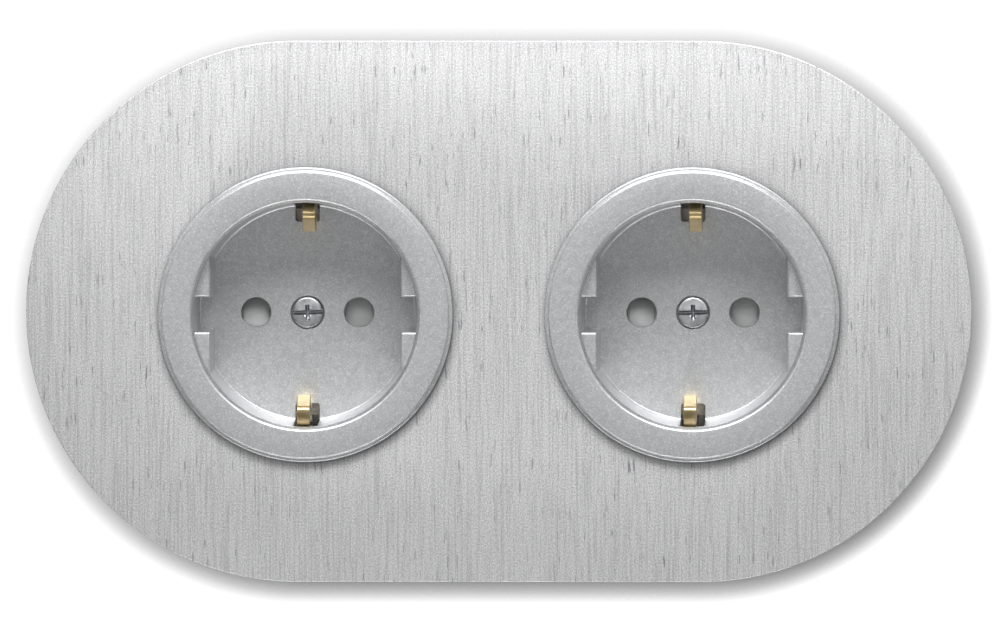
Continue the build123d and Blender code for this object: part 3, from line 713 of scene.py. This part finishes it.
def ringTree():
    # copies of one piece round the depth axis
    tree, source, output = newTree("aroundAxis", [
        ("Geometry", "NodeSocketGeometry", None), ("Count", "NodeSocketInt", 4),
        ("First Angle", "NodeSocketFloat", 0.0), ("Material", "NodeSocketMaterial", None),
    ])
    line = tree.nodes.new("GeometryNodeMeshLine")
    line.inputs["Offset"].default_value = (0, 0, 0)
    tree.links.new(source.outputs["Count"], line.inputs["Count"])
    index = tree.nodes.new("GeometryNodeInputIndex")
    share = tree.nodes.new("ShaderNodeMath")
    share.operation = "DIVIDE"
    tree.links.new(index.outputs["Index"], share.inputs[0])
    tree.links.new(source.outputs["Count"], share.inputs[1])
    angle = tree.nodes.new("ShaderNodeMath")
    angle.operation = "MULTIPLY_ADD"
    angle.inputs[1].default_value = 2 * math.pi
    tree.links.new(share.outputs["Value"], angle.inputs[0])
    tree.links.new(source.outputs["First Angle"], angle.inputs[2])
    rotation = tree.nodes.new("ShaderNodeCombineXYZ")
    tree.links.new(angle.outputs["Value"], rotation.inputs["Y"])
    copies = tree.nodes.new("GeometryNodeInstanceOnPoints")
    tree.links.new(line.outputs["Mesh"], copies.inputs["Points"])
    tree.links.new(source.outputs["Geometry"], copies.inputs["Instance"])
    tree.links.new(rotation.outputs["Vector"], copies.inputs["Rotation"])
    closeTree(tree, copies.outputs["Instances"], source, output)
    return tree


threadTurns = threadTree()
aroundAxis = ringTree()


# Screws: flat domed head with slot and cross, plain shank and a wound thread

screws = {
    "cover": {"head": 2.8, "side": 2.3, "dome": 0.2, "shank": 1.75, "length": 9.0, "pitch": 0.6, "plain": 2.5,
              "turn": -2.0},
    "claw": {"head": 2.6, "side": 1.2, "dome": 0.6, "shank": 1.3, "length": 24.5, "pitch": 0.5, "plain": 11.0,
             "turn": 12.0},
    "slotWidth": 0.9, "slotDepth": 1.5, "crossLength": 3.0, "crossWidth": 0.85, "crossDepth": 1.5,
    "crossTaper": 0.55,    # length of the cross at its foot against its length in front
    "grooveFoot": 0.08, "bowl": 0.95, "bowlDepth": 0.22, "turnMark": 0.008, "headEdge": 0.2,
    "threadRidge": 0.16, "tipLength": 0.6, "tipTaper": 0.5,
}


def makeScrew(name, kind, seat):
    # the thread stays inside the shank's own radius, so it meets its tapped hole as the CAD shank does
    s = screws[kind]
    scale = s["head"] / screws["cover"]["head"]
    crown = seat - s["side"] - s["dome"]
    ball = (s["head"] ** 2 + s["dome"] ** 2) / (2 * s["dome"])
    bowl = screws["bowl"] * scale
    outline = [(0, crown + screws["bowlDepth"]), (bowl * 0.9, crown + screws["bowlDepth"] * 0.4)]
    steps, marked = 14, 11   # radial steps of the domed face, the inner ones with turning marks
    for step in list(range(marked)) + [steps]:
        r = bowl + (s["head"] - bowl) * step / steps
        mark = screws["turnMark"] * (step % 2)
        outline.append((r, crown + ball - math.sqrt(ball**2 - r**2) + mark))
    core = s["shank"] - screws["threadRidge"]
    plainEnd = seat + s["plain"]
    tip = seat + s["length"]
    below = [(s["head"], seat), (s["shank"], seat), (s["shank"], plainEnd), (core, plainEnd + 0.2),
             (core, tip - screws["tipLength"]), (core - screws["tipTaper"], tip), (0, tip)]
    radii = [0] * (len(outline) - 1) + [screws["headEdge"], screws["headEdge"] / 2] + [0] * (len(below) - 1)
    outline += below
    obj = addObject(name, lathe(name, rounded(outline, radii, True, 4), 96), looks["zinc_screw"])
    # slot and cross are grooves that narrow to their foot
    front = rectangle(3 * s["head"], screws["slotWidth"])
    rear = rectangle(3 * s["head"], screws["grooveFoot"])
    slot = prism("slotTool", front, crown - 0.05, crown + screws["slotDepth"], rear)
    combine(obj, slot, "DIFFERENCE")
    front = rectangle(screws["crossWidth"] * scale, screws["crossLength"] * scale)
    rear = rectangle(screws["grooveFoot"] * scale, screws["crossLength"] * scale * screws["crossTaper"])
    cross = prism("crossTool", front, crown - 0.05, crown + screws["crossDepth"] * scale, rear)
    combine(obj, cross, "DIFFERENCE")
    turns = (s["length"] - s["plain"] - 1.0) / s["pitch"]
    thread = grow(name + "Thread", threadTurns, {
        "Radius": (core + 0.02) * mm, "Ridge": (s["shank"] - core - 0.02) * mm, "Pitch": s["pitch"] * mm,
        "Turns": turns, "Start": (0, (plainEnd + 0.3) * mm, 0), "Material": looks["zinc_screw"],
    })
    joinInto(obj, thread)
    smooth(obj, 35)
    obj.data.transform(Matrix.Rotation(math.radians(s["turn"]), 4, "Y"))
    return obj


def joinInto(obj, other):
    work = bmesh.new()
    work.from_mesh(obj.data)
    work.from_mesh(other.data)
    work.to_mesh(obj.data)
    work.free()
    bpy.data.objects.remove(other)


# Earth clips: hairpins of plated strip on the bridge

clip = {
    "width": 2.4, "thickness": 0.8, "armRadius": 21.4, "offset": {1: 0.6, -1: -0.4},
    # radius, drop below the ring and bend, for the clip above and the one below
    "path": {1: [(20.8, 4.4, 0.9), (18.1, 3.1, 0.7), (15.3, 10.0, 2.5), (17.3, 15.0, 0)],
             -1: [(20.8, 3.6, 0.9), (17.3, 2.8, 0.5), (15.2, 10.0, 2.5), (17.3, 15.0, 0)]},
    "armStart": 4.0, "armBend": 1.4, "bridgeFront": 13.2, "bridgeThickness": 1.2, "bridgeWidth": 5.6,
    "bridgeShort": 2.4,    # how far the bridge ends inside the arms
    "bossRadius": 3.2, "bossLength": 3.0, "tapHole": 1.8,
    "tailHalf": 3.8, "tailPlace": -17.2, "tailThickness": 0.8, "tailTop": -12.1, "tailEnd": 27.0,
}


def makeEarthStrip(name):
    c = clip
    front, rear = c["bridgeFront"], c["bridgeFront"] + c["bridgeThickness"]
    middle = (front + rear) / 2
    bridge = rectangle(c["bridgeWidth"], 2 * (c["armRadius"] - c["bridgeShort"]))
    obj = addObject(name, prism(name, bridge, front, rear), looks["plated_brass"])
    tailLow = c["tailPlace"] - c["tailThickness"] / 2
    tail = rectangle(2 * c["tailHalf"], c["tailTop"] - tailLow, 0, (c["tailTop"] + tailLow) / 2)
    combine(obj, prism("tail", tail, front, rear), "UNION")
    leg = rectangle(2 * c["tailHalf"], c["tailThickness"], 0, c["tailPlace"])
    combine(obj, prism("leg", leg, front, c["tailEnd"]), "UNION")
    bossFront, bossRear = rear - 0.5, rear + c["bossLength"]
    boss = [(0, bossFront), (c["bossRadius"], bossFront), (c["bossRadius"], bossRear), (0, bossRear)]
    combine(obj, lathe("boss", boss, 64), "UNION")
    hole = [(0, front - 1), (c["tapHole"], front - 1), (c["tapHole"], bossRear + 3), (0, bossRear + 3)]
    combine(obj, lathe("tap", hole, 64), "DIFFERENCE")
    for side, x in c["offset"].items():
        points = [(c["armRadius"] - c["armStart"], middle), (c["armRadius"], middle)]
        radii = [0, c["armBend"]]
        for radius, drop, bend in c["path"][side]:
            points.append((radius, ringFace + drop))
            radii.append(bend)
        path = rounded([(side * z, y) for z, y in points], radii, False, 10)
        combine(obj, strip("clip", path, c["thickness"], c["width"], x), "UNION")
    smooth(obj, 30)
    return obj


# Rivets: shank with a head at each end, four round each strap

rivet = {
    "circle": 26.2, "shank": 1.2, "headRadius": 1.8, "head": 0.8, "front": -1.2, "rear": 4.0, "count": 4,
    "domeAngles": (0.5, 0.9, 1.25, 1.5),   # in radians from the tip of a head to its rim
}


def makeRivets(name, gangX):
    r = rivet
    dome = [(r["headRadius"] * math.sin(a), r["head"] * math.cos(a)) for a in r["domeAngles"]]
    outline = [(0, r["front"] - r["head"])] + [(radius, r["front"] - rise) for radius, rise in dome]
    outline += [(r["headRadius"], r["front"]), (r["shank"], r["front"])]
    outline += [(r["shank"], r["rear"]), (r["headRadius"], r["rear"])]
    outline += [(radius, r["rear"] + rise) for radius, rise in reversed(dome)] + [(0, r["rear"] + r["head"])]
    one = lathe(name, outline, 40, (r["circle"], 0))
    values = {"Count": r["count"], "First Angle": math.pi / 4, "Material": looks["galvanised_steel"]}
    obj = grow(name, aroundAxis, values, one)
    smooth(obj, 35)
    return shifted(obj, gangX)


def makeCoverRibs():
    # stiffening ribs between the well and the skirt, joined to the cover
    c = cover
    inner, outer = c["wellRadius"] - 0.4, c["skirtRadius"] - c["skirtWall"] + 0.4
    outline = rectangle(outer - inner, c["ribThickness"], (inner + outer) / 2, 0)
    one = prism("rib", outline, ringFace + c["skin"] - 0.2, plateFace + c["skirtLength"])
    values = {"Count": c["ribs"], "First Angle": math.pi / c["ribs"], "Material": looks["silver_lacquer"]}
    return grow("ribs", aroundAxis, values, one)


joinInto(coverWork, makeCoverRibs())
smooth(coverWork, 30)


def placedCopy(source, name, x):
    obj = addObject(name, source.data.copy())
    return shifted(obj, x)


for gangName, gangX in gangs.items():
    piece = placedCopy(coverWork, gangName + "_cover_lacquered", gangX)
    finishPiece(piece, "housing", "silver_lacquer", gangName + "_cover")
    screwSeat = floorFront + cover["screwSeat"]
    piece = shifted(makeScrew(gangName + "_cover_screw_plated", "cover", screwSeat), gangX)
    finishPiece(piece, "housing", "zinc_screw", gangName + "_cover_screw")
    piece = shifted(makeEarthStrip(gangName + "_earth_strip_bent"), gangX)
    finishPiece(piece, "housing", "plated_brass", gangName + "_earth_strip")
    piece = makeRivets(gangName + "_strap_rivets_domed", gangX)
    finishPiece(piece, "housing", "galvanised_steel", gangName + "_strap_rivets")
    for place in ("outer", "inner"):
        node = gangName + "_" + place + "_claw_screw"
        low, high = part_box(node)
        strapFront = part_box(gangName + "_strap")[0].y / mm
        piece = shifted(makeScrew(node + "_plated", "claw", strapFront), (low.x + high.x) / 2 / mm)
        finishPiece(piece, "housing", "zinc_screw", node)
bpy.data.objects.remove(coverWork)
print("covers, screws, earth strips and rivets placed")


# The other pieces keep their CAD form, with merged and smoothed surfaces

def dress(node, body):
    source = frame["nodes"][node]
    mesh = source.data.copy()
    work = bmesh.new()
    work.from_mesh(mesh)
    bmesh.ops.remove_doubles(work, verts=work.verts, dist=2e-6)
    work.to_mesh(mesh)
    work.free()
    mesh.materials.clear()
    obj = addObject(node + "_dressed", mesh, looks[slotOf[node]])
    smooth(obj, 28)
    even = obj.modifiers.new("even", "WEIGHTED_NORMAL")   # flat faces stay flat beside their rounded edges
    even.keep_sharp = True
    applyModifiers(obj)
    finishPiece(obj, body, slotOf[node], node)


stoodFor = {name for obj in scene.objects for name in obj.get("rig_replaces", [])}
bodyOf = {node: body for body, nodes in frame["record"]["behaviour"]["bodies"].items() for node in nodes}
for node in sorted(frame["nodes"]):
    if node not in stoodFor:
        dress(node, bodyOf[node])
print("other pieces dressed")


# Wall behind the plate: seen from the front only, so the rear views stay clear, with a painted shadow round
# the plate in its glow

wall = {
    "width": 4.0, "height": 3.0, "openWidth": 0.132, "openHeight": 0.062, "depth": 0.0002,
    "glow": 1.02, "diffuse": 0.06, "paintedShadowReach": 0.0064, "paintedShadowDepth": 1.8,
    "paintedShadowSide": (-0.35, -0.82, 0.46),   # the painted shadow is lightest on the side this points to
}


def makeWall():
    # one flat frame round the opening for the two flush boxes, which the plate covers
    outer = rectangle(wall["width"] / mm, wall["height"] / mm)
    inner = rectangle(wall["openWidth"] / mm, wall["openHeight"] / mm)
    points = [(x * mm, wall["depth"], z * mm) for x, z in outer + inner]
    mesh = bpy.data.meshes.new("wall")
    mesh.from_pydata(points, [], [(i, (i + 1) % 4, (i + 1) % 4 + 4, i + 4) for i in range(4)])
    obj = addObject("wall", mesh)
    made = bpy.data.materials.new("whiteWall")
    made.use_nodes = True
    tree = made.node_tree
    tree.nodes.clear()
    output = tree.nodes.new("ShaderNodeOutputMaterial")
    diffuse = tree.nodes.new("ShaderNodeBsdfDiffuse")
    diffuse.inputs["Color"].default_value = (wall["diffuse"],) * 3 + (1,)
    glow = tree.nodes.new("ShaderNodeEmission")
    # painted shadow round the plate: the glow is darkened by ambient occlusion, darkest below and to the
    # right
    paintedShade = paintedContactShade(tree, wall["paintedShadowReach"], wall["paintedShadowSide"], wall["paintedShadowDepth"])
    tree.links.new(paintedShade, glow.inputs["Color"])
    rays = tree.nodes.new("ShaderNodeLightPath")
    seen = tree.nodes.new("ShaderNodeMath")
    seen.operation = "MAXIMUM"
    tree.links.new(rays.outputs["Is Camera Ray"], seen.inputs[0])
    tree.links.new(rays.outputs["Is Glossy Ray"], seen.inputs[1])
    level = tree.nodes.new("ShaderNodeMath")
    level.operation = "MULTIPLY"
    level.inputs[1].default_value = wall["glow"]
    tree.links.new(seen.outputs["Value"], level.inputs[0])
    tree.links.new(level.outputs["Value"], glow.inputs["Strength"])
    both = tree.nodes.new("ShaderNodeAddShader")
    tree.links.new(diffuse.outputs["BSDF"], both.inputs[0])
    tree.links.new(glow.outputs["Emission"], both.inputs[1])
    clear = tree.nodes.new("ShaderNodeBsdfTransparent")
    side = tree.nodes.new("ShaderNodeNewGeometry")
    mix = tree.nodes.new("ShaderNodeMixShader")
    tree.links.new(side.outputs["Backfacing"], mix.inputs["Fac"])
    tree.links.new(both.outputs["Shader"], mix.inputs[1])
    tree.links.new(clear.outputs["BSDF"], mix.inputs[2])
    tree.links.new(mix.outputs["Shader"], output.inputs["Surface"])
    mesh.materials.append(made)
    obj.visible_shadow = False


makeWall()


# Light: a soft box above and in front, a broad front fill and a faint rear fill

lights = {
    "key": {"place": (0.0, -0.74, 0.77), "size": (0.78, 0.43), "power": 17.3},
    "front": {"place": (0.0, -1.6, 0.15), "size": (1.4, 1.4), "power": 2.0},
    "leftStrip": {"place": (-0.62, -0.36, 0.05), "size": (0.05, 0.7), "power": 0.7},
    "rightStrip": {"place": (0.62, -0.36, 0.05), "size": (0.05, 0.7), "power": 0.7},
    "low": {"place": (0.0, -0.40, -0.55), "size": (0.9, 0.14), "power": 2.8},
    "rear": {"place": (0.3, 0.9, 0.7), "size": (0.9, 0.9), "power": 6.0},
}


def addLight(name, settings):
    data = bpy.data.lights.new(name, "AREA")
    data.shape = "RECTANGLE"
    data.size, data.size_y = settings["size"]
    data.energy = settings["power"]
    obj = bpy.data.objects.new(name, data)
    obj.location = settings["place"]
    obj.rotation_euler = (-Vector(settings["place"])).to_track_quat("-Z", "Y").to_euler()
    scene.collection.objects.link(obj)


for lightName, settings in lights.items():
    addLight(lightName, settings)

world = bpy.data.worlds.new("studio")
scene.world = world
world.use_nodes = True
sky = world.node_tree
background = sky.nodes["Background"]
background.inputs["Color"].default_value = (1, 1, 1, 1)
ambient = 0.09
rays = sky.nodes.new("ShaderNodeLightPath")
seenLevel = sky.nodes.new("ShaderNodeMapRange")
seenLevel.inputs["To Min"].default_value = ambient
seenLevel.inputs["To Max"].default_value = 1.0
sky.links.new(rays.outputs["Is Camera Ray"], seenLevel.inputs["Value"])
sky.links.new(seenLevel.outputs["Result"], background.inputs["Strength"])


# Camera: almost square on, a little above and aside, from far away

cameraSet = {
    "distance": 4.5, "above": 1.6, "aside": 1.1, "sensor": 36.0,
    "frameWidth": 1001, "frameHeight": 626,
    "plateLeft": 25.5, "plateRight": 972.0, "plateTop": 40.5, "plateBottom": 582.5,   # pixels in the photo
}
c = cameraSet
pixelsPerMetre = (c["plateRight"] - c["plateLeft"]) / (plateHigh.x - plateLow.x)
viewWidth = c["frameWidth"] / pixelsPerMetre
aimX = (c["frameWidth"] / 2 - (c["plateLeft"] + c["plateRight"]) / 2) / pixelsPerMetre
aimZ = ((c["plateTop"] + c["plateBottom"]) / 2 - c["frameHeight"] / 2) / pixelsPerMetre
aimZ += (plateHigh.z + plateLow.z) / 2
target = Vector((aimX, plateLow.y, aimZ))
rise, swing = math.tan(math.radians(c["above"])), math.tan(math.radians(c["aside"]))
cameraData = bpy.data.cameras.new("camera")
cameraData.sensor_width = c["sensor"]
cameraData.lens = c["sensor"] * c["distance"] / viewWidth
cameraData.clip_start, cameraData.clip_end = 0.1, 20.0
camera = bpy.data.objects.new("camera", cameraData)
camera.location = target + Vector((swing, -1, rise)) * c["distance"]
camera.rotation_euler = (target - camera.location).to_track_quat("-Z", "Y").to_euler()
scene.collection.objects.link(camera)
scene.camera = camera
scene.view_settings.view_transform = "Standard"
print("wall, lights and camera set")
